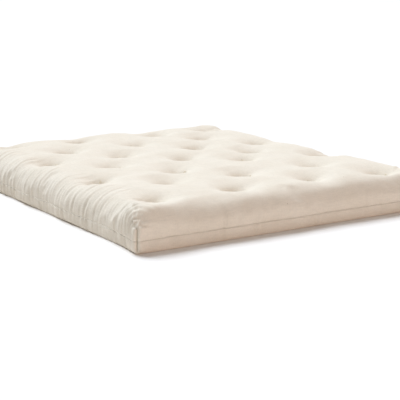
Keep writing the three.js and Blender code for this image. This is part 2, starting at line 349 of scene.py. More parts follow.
class Gathers:
    """Folds that cross an edge, each with its own place, width, depth, lean and upper end. crowd is
    the share by which their spacing shrinks towards the corners."""

    def __init__(self, seed, half, spacing, crowd, depth, width, reach):
        rng = np.random.default_rng(seed)
        self.folds = []
        at = -half + CORNER_CLEAR
        while at < half - CORNER_CLEAR:
            crowded = 1 - min((half - abs(at)) / CROWDED, 1.0)
            self.folds.append(
                {
                    "at": at,
                    "width": rng.uniform(*width) * (1 - 0.25 * crowded),
                    "depth": rng.uniform(*depth),
                    "lean": rng.normal(0, 0.10),
                    "bow": rng.normal(0, 0.6),
                    "top": rng.uniform(*reach),
                    "low": rng.uniform(0.45, 1.0),
                    "side": 1 if rng.random() < 0.5 else -1,
                }
            )
            at += spacing * (1 - crowd * crowded) * rng.uniform(0.55, 1.6)

    def field(self, along, height):
        """along is the place on the edge, height the way up the cloth from the seam."""
        total = np.zeros(len(along))
        for one in self.folds:
            rise = height - 0.1
            line = one["at"] + one["lean"] * rise + one["bow"] * rise**2
            x = (along - line) / one["width"] * one["side"]
            near = np.abs(x) < 5  # a fold is flat from there on
            fade = 1 - smooth(one["top"] - 0.07, one["top"] + 0.03, height[near])
            fade *= one["low"] + (1 - one["low"]) * smooth(-0.02, 0.09, height[near])
            total[near] += one["depth"] * fold(x[near]) * fade
        return total


# The long sides are gathered in close folds, higher on the left than on the right.
GATHERED = {"spacing": 0.021, "crowd": 0.25, "depth": (0.0009, 0.0028), "width": (0.0055, 0.0095)}
SIDE_GATHERS = {
    -1: Gathers(11, HALF_Y, reach=(0.15, 0.29), **GATHERED),
    1: Gathers(12, HALF_Y, reach=(0.08, 0.20), **GATHERED),
}
# The short ends have a few broad wrinkles.
WRINKLED = {"spacing": 0.085, "crowd": 0.5, "depth": (0.0005, 0.0020), "width": (0.010, 0.022)}
END_WRINKLES = {
    -1: Gathers(23, HALF_X, reach=(0.08, 0.24), **WRINKLED),
    1: Gathers(24, HALF_X, reach=(0.08, 0.24), **WRINKLED),
}

FRONT_TUCKS = [
    # distance from the left corner, depth, width and upper end of each tuck in the closed end
    (0.165, 0.00196, 0.009, 0.10),
    (0.222, 0.00252, 0.007, 0.08),
    (0.405, 0.00420, 0.008, 0.09),
    (0.475, 0.00168, 0.012, 0.13),
    (0.560, 0.00728, 0.009, 0.03),
    (0.600, 0.00280, 0.013, 0.12),
    (0.890, 0.00476, 0.009, 0.02),
    (1.180, 0.00280, 0.012, 0.09),
]
TUCK_LEAN = 0.12  # how far they lean to the right for their height


def front_tucks(x, height):
    """Tucks that the hand stitching left in the front end. They fade out upward."""
    total = np.zeros(len(x))
    for place, depth, width, top in FRONT_TUCKS:
        line = place - HALF_X + TUCK_LEAN * height
        total += depth * fold((x - line) / width) * (1 - smooth(top - 0.05, top + 0.05, height))
    return total


CREASE = 0.0030  # depth of the creases that a tie pulls into the cloth
CREASE_SPAN = 0.2  # none runs out further than this


def tie_creases(x, y, seed):
    """Creases that run out from each tie and die away."""
    rng = np.random.default_rng(seed)
    total = np.zeros(len(x))
    for tie in TIE_POINTS:
        dx, dy = x - tie[0], y - tie[1]
        distance = np.hypot(dx, dy)
        near = distance < CREASE_SPAN
        angle = np.arctan2(dy[near], dx[near])
        d = distance[near]
        amount = np.zeros(len(d))
        for _ in range(rng.integers(7, 11)):
            heading = rng.uniform(-math.pi, math.pi)
            off = (angle - heading + math.pi) % (2 * math.pi) - math.pi
            reach = rng.uniform(0.03, 0.085)
            width = 0.006 + 0.12 * d
            amount += rng.uniform(0.4, 1.0) * fold(off * d / width) * np.exp(-d / reach)
        total[near] += amount * CREASE * smooth(0.004, 0.02, d)
    return total


CORNER_SEAM_IN = 0.005  # a corner's upright seam lies this far inside the corner of the plan
CORNER_WORK = 0.30  # and puckers the cloth up to this far from it
GROOVE, GROOVE_WIDTH = 0.0140, 0.0062  # the seam's own depth and width
LIP, LIP_AT, LIP_WIDTH = 0.0030, 0.015, 0.008  # the lips beside it
ARCH_DEPTH = 1.2
ARCH_SHORT_SIDE = 0.28  # on the short side the arches have only this share of their depth
PUCKERS = 7  # tight puckers that radiate from the seam's top
PUCKER_DEPTH = 0.0085
PUCKER_FROM, PUCKER_STEP, PUCKER_CURL = 0.30, 0.40, 5.0  # radians, and radians per metre


def corner_frames(points):
    """For each corner: which points are near it, their distance from its upright seam's top, how
    far they lie in from it along x and y, and how far above it."""
    for sx in (-1, 1):
        for sy in (-1, 1):
            corner_x = sx * (HALF_X + CORNER_PUSH[0] - CORNER_SEAM_IN)
            corner_y = sy * (HALF_Y + CORNER_PUSH[1] - CORNER_SEAM_IN)
            dx = (corner_x - points[:, 0]) * sx
            dy = (corner_y - points[:, 1]) * sy
            near = np.maximum(dx, dy) < CORNER_WORK
            dx, dy = dx[near], dy[near]
            over = np.maximum(points[near, 2] - CORNER_HIGH, 0)
            distance = np.sqrt(dx**2 + dy**2 + over**2)
            yield near, distance, dx, dy, points[near, 2] - CORNER_HIGH


CORNER_ARCS = [
    # distance from the seam, depth and width of each fold that arches over a corner
    (0.026, 0.0036, 0.0050),
    (0.038, 0.0044, 0.0052),
    (0.053, 0.0050, 0.0064),
    (0.069, 0.0040, 0.0062),
    (0.090, 0.0050, 0.0078),
    (0.110, 0.0032, 0.0068),
    (0.135, 0.0042, 0.0085),
    (0.158, 0.0026, 0.0076),
    (0.186, 0.0032, 0.0090),
]


def corner_groove(dx, dy, rise):
    """The upright seam, sunk between two lips."""
    across = (dx - dy) / math.sqrt(2)
    below = 1 - smooth(-0.006, 0.008, rise)
    groove = -GROOVE * np.exp(-((across / GROOVE_WIDTH) ** 2))
    lips = LIP * np.exp(-(((np.abs(across) - LIP_AT) / LIP_WIDTH) ** 2))
    return below * (groove + lips)


def corner_arches(rng, distance, wander, long_side, rise):
    """Folds that arch over the seam's top, strong on the long side and faint on the short one."""
    strength = ARCH_DEPTH * (ARCH_SHORT_SIDE + (1 - ARCH_SHORT_SIDE) * long_side)
    strength *= 0.55 + 0.45 * smooth(-0.10, 0.0, rise)
    total = 0
    for at, depth, width in CORNER_ARCS:
        place = at * rng.uniform(0.95, 1.05)
        x = (distance + wander * min(1.0, at / 0.08) - place) / width
        total += depth * fold(x) * strength
    return total


def corner_puckers(rng, dx, dy, rise):
    """Tight puckers that radiate from the seam's top and curl as they go."""
    heading = np.arctan2(np.maximum(rise, -0.02), dy - dx)
    away = np.hypot(rise, np.hypot(dx, dy))
    width = 0.0026 + 0.12 * away
    total = 0
    for k in range(PUCKERS):
        to = PUCKER_FROM + k * PUCKER_STEP + rng.normal(0, 0.05)
        reach = rng.uniform(0.034, 0.060)
        off = (heading - to - PUCKER_CURL * away) * away
        total += PUCKER_DEPTH * fold(off / width) * np.exp(-((away / reach) ** 1.5))
    return total * smooth(-0.012, 0.004, rise)


def corner_folds(points, seed):
    """What the four upright corner seams do to the cloth round them."""
    rng = np.random.default_rng(seed)
    total = np.zeros(len(points))
    for near, distance, dx, dy, rise in corner_frames(points):
        long_side = smooth(-0.015, 0.05, dy - dx)
        wander = 0.0035 * ripple(points[near], 0.11, seed + 9, 8)
        amount = corner_groove(dx, dy, rise)
        amount += corner_arches(rng, distance, wander, long_side, rise)
        amount += corner_puckers(rng, dx, dy, rise)
        total[near] += amount
    return total


def seam_groove(height):
    """The panels' seam draws the cloth in along a fine line, 3 mm to each side and 0.1 mm deep."""
    return -0.0001 * np.exp(-((height / 0.0030) ** 2))


# The filled cloth, settled by a cloth simulation


def between(values, places, wrap=False):
    """Values at fractional places along the first axis, on a smooth curve through the four nearest.
    wrap is for a closed ring."""
    count = len(values)
    low = np.floor(places).astype(int)
    t = (places - low).reshape((-1,) + (1,) * (values.ndim - 1))

    def pick(step):
        return values[(low + step) % count if wrap else np.clip(low + step, 0, count - 1)]

    a, b, c, d = pick(-1), pick(0), pick(1), pick(2)
    return b + 0.5 * t * (c - a + t * (2 * a - 5 * b + 4 * c - d + t * (3 * (b - c) + d - a)))


def settle(points):
    """Blows the top panel up a little as cloth, on every few lines of its mesh, held at the ties
    and along the seam. Gives the shift of each point of the fine mesh."""
    grid = np.arange((TOP_NX + 1) * (TOP_NY + 1)).reshape(TOP_NY + 1, TOP_NX + 1)
    steps = (CLOTH_X, CLOTH_Y, CLOTH_X, CLOTH_Y)
    counts = (TOP_NX, TOP_NY, TOP_NX, TOP_NY)
    starts = np.cumsum((0,) + counts)
    around = np.concatenate([start + np.arange(0, n, s) for start, n, s in zip(starts, counts, steps)])
    girth = starts[-1]
    few_x, few_y, few_levels = TOP_NX // CLOTH_X, TOP_NY // CLOTH_Y, SIDE_LEVELS // CLOTH_LEVEL
    kept = [grid[::CLOTH_Y, ::CLOTH_X].ravel()]
    for level in range(CLOTH_LEVEL, SIDE_LEVELS + 1, CLOTH_LEVEL):
        kept.append(grid.size + (level - 1) * girth + around)
    kept = np.concatenate(kept)
    start = points[kept]
    cloth = make_mesh("settling_cloth", start, panel_faces(few_x, few_y, few_levels, True))

    held = cloth.vertex_groups.new(name="held")
    held.add(list(range(len(start) - len(around), len(start))), 1.0, "REPLACE")
    away = tie_distances(start[:, 0], start[:, 1]).min(axis=1)
    for index in np.nonzero(away < CLOTH_FREE)[0]:
        held.add([int(index)], float(1 - smooth(CLOTH_HELD, CLOTH_FREE, away[index])), "REPLACE")

    modifier = cloth.modifiers.new("cloth", "CLOTH")
    fabric = modifier.settings
    fabric.quality = 6
    fabric.mass = 0.3
    fabric.tension_stiffness = 12
    fabric.compression_stiffness = 12
    fabric.shear_stiffness = 4
    fabric.bending_stiffness = 4.0
    fabric.vertex_group_mass = "held"
    fabric.shrink_min = -0.003
    fabric.use_pressure = True
    fabric.uniform_pressure_force = 3.0
    fabric.effector_weights.gravity = 0
    modifier.point_cache.frame_end = CLOTH_FRAMES
    scene = bpy.context.scene
    for frame_number in range(1, CLOTH_FRAMES + 1):
        scene.frame_set(frame_number)
    settled = cloth.evaluated_get(bpy.context.evaluated_depsgraph_get())
    shift = places_of(settled.data) - start
    bpy.data.objects.remove(cloth)
    scene.frame_set(1)
    size = np.linalg.norm(shift, axis=1, keepdims=True) + 1e-9
    shift *= CLOTH_CAP * np.tanh(size / CLOTH_CAP) / size

    flat = shift[: (few_x + 1) * (few_y + 1)].reshape(few_y + 1, few_x + 1, 3)
    flat = between(flat, np.arange(TOP_NY + 1) / CLOTH_Y)
    flat = between(flat.transpose(1, 0, 2), np.arange(TOP_NX + 1) / CLOTH_X).transpose(1, 0, 2)
    rim = shift[rim_indices(few_x, few_y)]
    sides = np.concatenate([rim[None], shift[(few_x + 1) * (few_y + 1) :].reshape(few_levels, -1, 3)])
    place = np.interp(np.arange(girth), np.append(around, girth), np.arange(len(around) + 1))
    sides = between(sides.transpose(1, 0, 2), place, wrap=True).transpose(1, 0, 2)
    sides = between(sides, np.arange(SIDE_LEVELS + 1) / CLOTH_LEVEL)[1:]
    return np.concatenate([flat.reshape(-1, 3), sides.reshape(-1, 3)])


# The two panels


def way_from_seam(height, inward):
    """The way up the cloth, and on across the flat top, where height stays ROLL_LENGTH."""
    return np.where(height < ROLL_LENGTH - 1e-4, height, ROLL_LENGTH + np.maximum(inward, 0))


def clear_of_corner(half, along):
    """1 along an edge and 0 at its corners, where the corner seams pucker the cloth instead."""
    return 1 - smooth(half - 0.10, half - 0.03, np.abs(along))


def clothed(points, height, seed):
    """Displacement of the cloth at points. height is the way up to them from the seam."""
    x, y = points[:, 0], points[:, 1]
    total = 0.0022 * ripple(points, 0.28, seed) + 0.0009 * ripple(points, 0.085, seed + 1)
    reach_x = way_from_seam(height, HALF_X - ROLL_SIDE - np.abs(x))
    reach_y = way_from_seam(height, HALF_Y - ROLL_END - np.abs(y))
    nearer_side = (HALF_X - np.abs(x)) / ROLL_SIDE - (HALF_Y - np.abs(y)) / ROLL_END
    on_side = 1 - smooth(-0.25, 0.35, nearer_side)
    on_end = smooth(-0.35, 0.25, nearer_side)
    for sign in (-1, 1):
        side = x * sign > 0
        deeper_below = 1 + 1.3 * smooth(0.02, -0.04, height[side])
        gathers = SIDE_GATHERS[sign].field(y[side], reach_x[side]) * deeper_below
        total[side] += gathers * on_side[side] * clear_of_corner(HALF_Y, y[side])
        end = y * sign > 0
        wrinkles = END_WRINKLES[sign].field(x[end], reach_y[end])
        total[end] += wrinkles * on_end[end] * clear_of_corner(HALF_X, x[end])
    front = y < 0
    total[front] += front_tucks(x[front], reach_y[front]) * on_end[front]
    total += corner_folds(points, CORNER_SEED)
    return total


def top_panel():
    """The upper panel: the top, the roll over the edges and the sides down to the seam."""
    inset, height, above = roll_table(SIDE_LEVELS)
    foot = outline(HALF_X, HALF_Y, PLAN_SEAM, TOP_NX, TOP_NY)
    ear = outline(HALF_X, HALF_Y, PLAN_TOP, TOP_NX, TOP_NY)
    brow = outline(HALF_X - ROLL_SIDE, HALF_Y - ROLL_END, PLAN_TOP, TOP_NX, TOP_NY)
    rise = CROWN + LOFT + crown_sag() - RIM_DROP - SEAM

    def ring(level):
        z = SEAM + rise * height[level]
        base = foot + (ear - foot) * smooth(CORNER_HIGH - 0.006, CORNER_HIGH + 0.040, z)
        flat = base + (brow - base) * (inset[level] * (1 - CORNER_FULL * near_corner(foot)))[:, None]
        return np.column_stack([flat, np.full(len(flat), z)])

    first = ring(0)
    grid = filled_outline(first[:, :2], TOP_NX, TOP_NY).reshape(-1, 2)
    inward_x = HALF_X - ROLL_SIDE - np.abs(grid[:, 0])
    inward_y = HALF_Y - ROLL_END - np.abs(grid[:, 1])
    top_z = SEAM + rise + RIM_DROP * smooth(-0.02, RIM_RISE, np.minimum(inward_x, inward_y))
    points = [np.column_stack([grid, top_z])]
    heights = [np.full(len(grid), above[0])]
    for level in range(1, SIDE_LEVELS + 1):
        one = ring(level)
        points.append(one)
        heights.append(np.full(len(one), above[level]))
    points = np.concatenate(points)
    heights = np.concatenate(heights)
    points[:, :2] = corner_push(points)
    slope = smooth(0.0, 0.6, (points[:, 2] - SEAM) / rise)  # the ties pull less down the sides
    points[:, 2] -= dimple_depth(points[:, 0], points[:, 1]) * slope
    points += settle(points) * smooth(0.0, SEAM_FREE, heights)[:, None]
    faces = panel_faces(TOP_NX, TOP_NY, SIDE_LEVELS, True)
    piece = make_mesh("calico_top_panel", points, faces)
    mesh = piece.data
    shift = clothed(points, heights, CLOTH_SEED)
    shift += tie_creases(points[:, 0], points[:, 1], CREASE_SEED) * slope
    shift += seam_groove(heights)
    places = places_of(mesh) + normals_of(mesh) * shift[:, None]
    places[:, 2] -= HELD_BACK * np.maximum(places[:, 2] - CROWN - TAUT, 0)
    last = len(places) - len(first)
    places[last:, 2] = SEAM
    put_places(mesh, places)
    turn_in(piece, last, len(first), ALLOWANCE_RISE)
    return piece


def turn_in(piece, last, count, lift):
    """Turns the panel's edge in as seam allowance: two more rings, inward from the last. The upper
    panel's is lifted and the lower panel's let down, so that the stitching can wrap both."""
    mesh = piece.data
    edge = places_of(mesh)[last : last + count]
    rings = []
    for inward, up in zip(ALLOWANCE, (0.0, lift)):
        shrink = np.array([1 - inward / HALF_X, 1 - inward / HALF_Y, 1])
        ring = edge * shrink
        ring[:, 2] += up
        rings.append(ring)
    start = len(mesh.vertices)
    points = np.concatenate([places_of(mesh)] + rings)
    faces = [tuple(p.vertices) for p in mesh.polygons]
    above = np.arange(last, last + count)
    for level in range(len(rings)):
        below = start + level * count + np.arange(count)
        for k in range(count):
            n = (k + 1) % count
            quad = (int(above[k]), int(below[k]), int(below[n]), int(above[n]))
            faces.append(quad if lift > 0 else tuple(reversed(quad)))
        above = below
    mesh.clear_geometry()
    mesh.from_pydata(points.tolist(), [], faces)
    turned = len(rings) * count  # these stay flat shaded, so the crease at the seam is sharp
    mesh.polygons.foreach_set("use_smooth", [True] * (len(faces) - turned) + [False] * turned)
    mesh.update()


def under_panel(edge):
    """The lower panel. Its upper edge is sewn to edge, the top panel's."""

    def ring(level):
        angle = (1 - level / UNDER_LEVELS) * math.pi / 2
        inset = TUCK * (1 - math.cos(angle)) ** TUCK_POWER
        z = SEAM * (1 - math.sin(angle))
        flat = outline(HALF_X - inset, HALF_Y - inset, PLAN_SEAM, TOP_NX, TOP_NY)
        return np.column_stack([flat, np.full(len(flat), z)])

    first = ring(0)
    grid = filled_outline(first[:, :2], TOP_NX, TOP_NY).reshape(-1, 2)
    points = [np.column_stack([grid, under_depth(grid[:, 0], grid[:, 1])])]
    girth = -SEAM * math.pi / 2  # the way down the cloth from the seam, below 0
    heights = [np.full(len(grid), girth)]
    for level in range(1, UNDER_LEVELS + 1):
        one = ring(level)
        points.append(one)
        heights.append(np.full(len(one), girth * (1 - level / UNDER_LEVELS)))
    points = np.concatenate(points)
    points[:, :2] = corner_push(points)
    heights = np.concatenate(heights)
    piece = make_mesh("calico_under_panel", points, panel_faces(TOP_NX, TOP_NY, UNDER_LEVELS, False))
    mesh = piece.data
    free = smooth(0.0, 0.02, points[:, 2])  # what lies on the bed or floor stays flat
    shift = (clothed(points, heights, CLOTH_SEED) + seam_groove(heights)) * free
    places = places_of(mesh) + normals_of(mesh) * shift[:, None]
    places[:, 2] = np.maximum(places[:, 2], 0.0)
    last = len(places) - len(first)
    places[last:] = edge
    put_places(mesh, places)
    turn_in(piece, last, len(first), -ALLOWANCE_RISE)
    return piece


# Twine, thread and stitches


ASKEW = (0.31, 0.52, 0.79)  # no yarn runs this way, so it serves to find a side of one


def heading_of(path):
    """The direction of a path at each of its points."""
    along = np.gradient(path, axis=0)
    return along / np.linalg.norm(along, axis=1, keepdims=True)


def travel_of(path):
    """The way along a path to each of its points."""
    return np.concatenate([[0], np.cumsum(np.linalg.norm(np.diff(path, axis=0), axis=1))])


def point_at(path, travel, place):
    """The point of a path at a place along it."""
    return np.array([np.interp(place, travel, path[:, axis]) for axis in range(3)])


def tube(path, radius, sides=6):
    """Points and faces of a round tube along a path, closed at both ends."""
    path = np.asarray(path, float)
    along = heading_of(path)
    side = np.cross(along[0], ASKEW)
    points = []
    for centre, forward in zip(path, along):
        side = side - forward * (side @ forward)
        side /= np.linalg.norm(side)
        up = np.cross(forward, side)
        for k in range(sides):
            turn = 2 * math.pi * k / sides
            points.append(centre + radius * (math.cos(turn) * side + math.sin(turn) * up))
    faces = []
    for ring in range(len(path) - 1):
        for k in range(sides):
            n = (k + 1) % sides
            a, b = ring * sides, (ring + 1) * sides
            faces.append((a + k, a + n, b + n, b + k))
    last = (len(path) - 1) * sides
    faces.append(tuple(range(sides - 1, -1, -1)))
    faces.append(tuple(last + k for k in range(sides)))
    return np.array(points), faces


def laid(path, strands, radius, twists, fray=0.0):
    """The strands of a twisted yarn along a path, as paths. They splay by fray at the far end."""
    along = heading_of(path)
    side = np.cross(along, ASKEW)
    side /= np.linalg.norm(side, axis=1, keepdims=True)
    up = np.cross(along, side)
    share = np.linspace(0, 1, len(path))
    paths = []
    for k in range(strands):
        turn = 2 * math.pi * (k / strands + twists * share)
        off = radius + fray * smooth(0.82, 1.0, share)
        paths.append(path + (off * np.cos(turn))[:, None] * side + (off * np.sin(turn))[:, None] * up)
    return paths


def joined(name, tubes):
    """One piece from several tubes."""
    points, faces, count = [], [], 0
    for some_points, some_faces in tubes:
        points.append(some_points)
        faces += [tuple(index + count for index in face) for face in some_faces]
        count += len(some_points)
    return make_mesh(name, np.concatenate(points), faces)


TWINE_STRAND = 0.0008  # radius of one of the twine's strands
SHANK_STRAND = 0.0012  # radius of each of the two lengths of twine in the shank
TWINE_LAY = 0.0010  # how far the strands lie from the middle of the twine
TWINE_PITCH = 0.011  # the length of one twist
KNOT_LOOP = 0.0021  # size of the knot's loops
TAIL_LENGTHS = (0.060, 0.046)


def twisted(path, twists, lay=TWINE_LAY, fray=0.0):
    """Three-strand twine along a path."""
    return [tube(strand, TWINE_STRAND, 5) for strand in laid(path, 3, lay, twists, fray)]


def overhand_knot(x, y, z):
    """The path of a closed-up overhand knot, which is a trefoil."""
    t = np.linspace(0, 2 * math.pi, 49)
    return np.column_stack([
        x + KNOT_LOOP * (np.sin(t) + 2 * np.sin(2 * t)),
        y + KNOT_LOOP * (np.cos(t) - 2 * np.cos(2 * t)),
        z - 0.0026 * np.sin(3 * t),
    ])


def cut_tail(x, y, z, lean, length, curl_from, cloth):
    """The path of a tail that springs up from the knot at x, y, z, leans over and comes down to lie
    on the cloth."""
    share = np.linspace(0, 1, 22)
    out = length * (0.25 * share + 0.60 * share**2)
    curl = 0.004 * np.sin(share * 3.2 + curl_from)
    tail_x = x + out * math.cos(lean) - curl * math.sin(lean)
    tail_y = y + out * math.sin(lean) + curl * math.cos(lean)
    gap = np.hypot(cloth[:, 0] - tail_x[:, None], cloth[:, 1] - tail_y[:, None])
    lies = cloth[gap.argmin(axis=1), 2] + 0.0035
    rise = z + length * 0.8 * share
    tail_z = np.maximum(lies, rise) * (1 - share**2) + (lies + 0.003) * share**2
    tail_z = np.convolve(np.pad(tail_z, 2, "edge"), np.ones(5) / 5, "valid")
    return np.column_stack([tail_x, tail_y, tail_z])


def under_stitch(x, y, z, turn):
    """The path of the stitch below, 14 mm long, with both ends turned up into the cloth."""
    share = np.linspace(-1, 1, 15)
    return np.column_stack([
        x + 0.007 * share * math.cos(turn),
        y + 0.007 * share * math.sin(turn),
        z + 0.003 * share**4,
    ])


def twine_tie(name, index, cloth):
    """A tie: a stitch below, the shank up through the filling, an overhand knot in the dimple and
    two cut tails that lie up the cloth, with frayed ends. cloth is the top panel's points."""
    rng = np.random.default_rng(TWINE_SEED + index)
    x, y = TIE_AT[name]
    away = np.hypot(cloth[:, 0] - x, cloth[:, 1] - y)
    knot_z = cloth[away < 0.010, 2].min() + 0.0055
    foot_z = UNDER_DIMPLE - 0.0025
    cloth = cloth[away < 0.08]
    tubes = twisted(overhand_knot(x, y, knot_z), 8, lay=0.0011)
    heading = rng.uniform(-math.pi, math.pi)
    for k, length in enumerate(TAIL_LENGTHS):
        lean = heading + k * (math.pi + rng.uniform(-0.6, 0.6))
        length *= rng.uniform(0.85, 1.1)
        tail = cut_tail(x, y, knot_z, lean, length, k, cloth)
        tubes += twisted(tail, length / TWINE_PITCH, fray=0.0016)
    heights = np.linspace(knot_z, foot_z, 40)
    shank = np.column_stack([np.full(40, x), np.full(40, y), heights])
    tubes += [tube(strand, SHANK_STRAND, 6) for strand in laid(shank, 2, TWINE_LAY, 5)]
    tubes += twisted(under_stitch(x, y, foot_z, rng.uniform(0, math.pi)), 2)
    return joined("twine_" + name.removeprefix("tuft_"), tubes)


THREAD = 0.0004  # radius of the sewing thread
STITCH_PITCH = 0.0095  # from one hand stitch to the next
STITCHES_CLEAR = 0.07  # they stop this far from the corners
WHIP_PITCH = 0.0065
WHIP_THREAD = 0.0007
WHIP_STEPS = 8  # points in each turn
OVERLOCK_PITCH = 0.0045
OVERLOCK_CLEAR = 0.062  # the stitching stops this far from the corners
OVERLOCK_RISE = 0.0026  # it passes this far above and below the turned-in edges,
OVERLOCK_IN = (0.007, 0.0138)  # from so far in to so far in


def overlock(side):
    """Overlock stitching that wraps both turned-in edges inside, along one side of the sack."""
    half, out = (HALF_X, HALF_Y) if side in ("front", "back") else (HALF_Y, HALF_X)
    half -= OVERLOCK_CLEAR
    count = int(2 * half / OVERLOCK_PITCH)
    near, far = OVERLOCK_IN
    points = []
    for k in range(count):
        along = -half + 2 * half * k / count
        for step, (inset, rise) in enumerate(((near, 1), (far, 1), (far, -1), (near, -1))):
            shift = OVERLOCK_PITCH * step / 4
            points.append((along + shift, -(out - inset), SEAM + OVERLOCK_RISE * rise))
    points = np.array(points)
    turn = {"front": 0, "right": 1, "back": 2, "left": 3}[side] * math.pi / 2
    c, s = math.cos(turn), math.sin(turn)
    spun = np.column_stack([
        c * points[:, 0] - s * points[:, 1],
        s * points[:, 0] + c * points[:, 1],
        points[:, 2],
    ])
    return [tube(spun, THREAD, 4)]


def closing_stitches(edge):
    """Small slanting hand stitches across the front seam, where the sack was closed after filling."""
    tubes = []
    travel = travel_of(edge)
    rng = np.random.default_rng(STITCH_SEED)
    for place in np.arange(STITCHES_CLEAR, travel[-1] - STITCHES_CLEAR, STITCH_PITCH):
        centre = point_at(edge, travel, place + rng.uniform(-0.0006, 0.0006))
        reach = rng.uniform(0.0018, 0.0024)
        share = np.linspace(-1, 1, 5)
        stitch = np.column_stack([
            centre[0] + reach * share,
            centre[1] - 0.0004 + 0.0009 * share**2,
            centre[2] + 1.2 * reach * share,
        ])
        tubes.append(tube(stitch, THREAD, 5))
    return tubes


def corner_stitches(name, path):
    """Whip stitches that draw a corner's upright seam together, with the thread between them."""
    travel = travel_of(path)
    outward = np.array([math.copysign(1, path[0, 0]), math.copysign(1, path[0, 1]), 0]) / math.sqrt(2)
    across = np.array([-outward[1], outward[0], 0])
    points = []
    for k, place in enumerate(np.arange(0.002, travel[-1], WHIP_PITCH / WHIP_STEPS)):
        turn = 2 * math.pi * k / WHIP_STEPS
        out = outward * (0.0045 + 0.0012 * math.cos(turn))
        points.append(point_at(path, travel, place) + out + across * 0.0032 * math.sin(turn))
    return joined(name, [tube(points, WHIP_THREAD, 5)])


# Batting

SHEET_NX, SHEET_NY = 68, 80
SHEET_CORNER = 0.03  # corner radius in plan
SHEET_GAP = 0.0005  # from each face of a sheet to the middle of the gap beside it
FLUFF, FLUFF_MOST = 0.0007, 0.0015  # unevenness of a sheet's faces, and the most there is of it
THINNEST = 0.001  # a tie presses a sheet no thinner than this


def filling_height(x, y):
    """The lower and upper surface of the whole filling at x, y."""
    in_x = np.maximum(HALF_X - SIDE_ROOM - np.abs(x), 0)
    in_y = np.maximum(HALF_Y - SIDE_ROOM - np.abs(y), 0)

    def arch(reach_x, reach_y):
        share = np.clip(np.minimum(in_x / reach_x, in_y / reach_y), 0, 1)
        return (1 - (1 - share) ** ROLL_POWER) ** (1 / ROLL_POWER)

    top = arch(ROLL_SIDE, ROLL_END)
    upper = SEAM + (CROWN - SEAM) * top - dimple_depth(x, y) * top - BATTING_ROOM * top
    under = arch(TUCK, TUCK)
    lower = SEAM * (1 - under) + (under_depth(x, y) + BATTING_ROOM / 2) * under
    return lower, upper


def batting_sheet(index):
    """One sheet of carded cotton, numbered from the bottom up, as thick as the ties let it be."""
    count_x, count_y = SHEET_NX, SHEET_NY
    ring = outline(HALF_X - SIDE_ROOM, HALF_Y - SIDE_ROOM, SHEET_CORNER, count_x, count_y)
    flat = filled_outline(ring, count_x, count_y).reshape(-1, 2)
    lower, upper = filling_height(flat[:, 0], flat[:, 1])
    place = np.column_stack([flat, np.zeros(len(flat))])
    share = np.array([index - 1, index]) / len(LAYERS)
    fluff = [FLUFF * ripple(place, 0.05, SHEET_SEED + index + k) for k in (0, 1)]
    fluff = np.minimum(fluff, FLUFF_MOST)
    floor = lower + (upper - lower) * share[0] + SHEET_GAP + fluff[0] * (index > 1)
    roof = lower + (upper - lower) * share[1] - SHEET_GAP + fluff[1]
    roof = np.maximum(roof, floor + THINNEST)
    rim = rim_indices(count_x, count_y)
    points = np.concatenate([np.column_stack([flat, roof]), np.column_stack([flat, floor])])
    base = len(flat)
    faces = []
    wide = count_x + 1
    for j in range(count_y):
        for i in range(count_x):
            a = j * wide + i
            faces.append((a, a + 1, a + wide + 1, a + wide))
            faces.append((base + a, base + a + wide, base + a + wide + 1, base + a + 1))
    for k in range(len(rim)):
        a, b = int(rim[k]), int(rim[(k + 1) % len(rim)])
        faces.append((a, base + a, base + b, b))
    return make_mesh(f"batting_sheet_{index}", points, faces)


# Materials


def colour(text):
    """An sRGB hex colour as the linear values that a shader takes."""
    parts = [int(text[i : i + 2], 16) / 255 for i in (1, 3, 5)]
    return [c / 12.92 if c <= 0.04045 else ((c + 0.055) / 1.055) ** 2.4 for c in parts] + [1.0]


def add_node(tree, kind, settings=None, **links):
    """Adds a node with its settings. Its inputs are values or other nodes' sockets, by name, or by
    number as i0, i1."""
    made = tree.nodes.new(kind)
    for key, value in (settings or {}).items():
        setattr(made, key, value)
    for key, value in links.items():
        socket = made.inputs[int(key[1:])] if key[1:].isdigit() else made.inputs[key.replace("_", " ")]
        if isinstance(value, bpy.types.NodeSocket):
            tree.links.new(value, socket)
        else:
            socket.default_value = value
    return made


IOR = 1.5  # of cotton, and about that of paint


def new_material(name, roughness):
    """A material, its node tree and its shader."""
    material = bpy.data.materials.new(name)
    material.use_nodes = True
    tree = material.node_tree
    shader = tree.nodes["Principled BSDF"]
    shader.inputs["Roughness"].default_value = roughness
    shader.inputs["IOR"].default_value = IOR
    return material, tree, shader


WEAVE_HEIGHT = 1.6  # a weave's height runs from about minus this to this


def weave(tree, place, spacing):
    """Height of a plain weave: threads across the two directions that lie in the cloth, whichever
    way it faces."""
    facing = add_node(tree, "ShaderNodeNewGeometry").outputs["Normal"]
    facing = add_node(tree, "ShaderNodeVectorMath", {"operation": "ABSOLUTE"}, i0=facing).outputs[0]
    flat = add_node(tree, "ShaderNodeVectorMath", {"operation": "SUBTRACT"}, i0=(1, 1, 1), i1=facing)
    turns = add_node(tree, "ShaderNodeVectorMath", {"operation": "SCALE"}, i0=place)
    turns.inputs["Scale"].default_value = 2 * math.pi / spacing
    wave = add_node(tree, "ShaderNodeVectorMath", {"operation": "SINE"}, i0=turns.outputs[0]).outputs[0]
    product = {"operation": "DOT_PRODUCT"}
    return add_node(tree, "ShaderNodeVectorMath", product, i0=wave, i1=flat.outputs[0]).outputs["Value"]


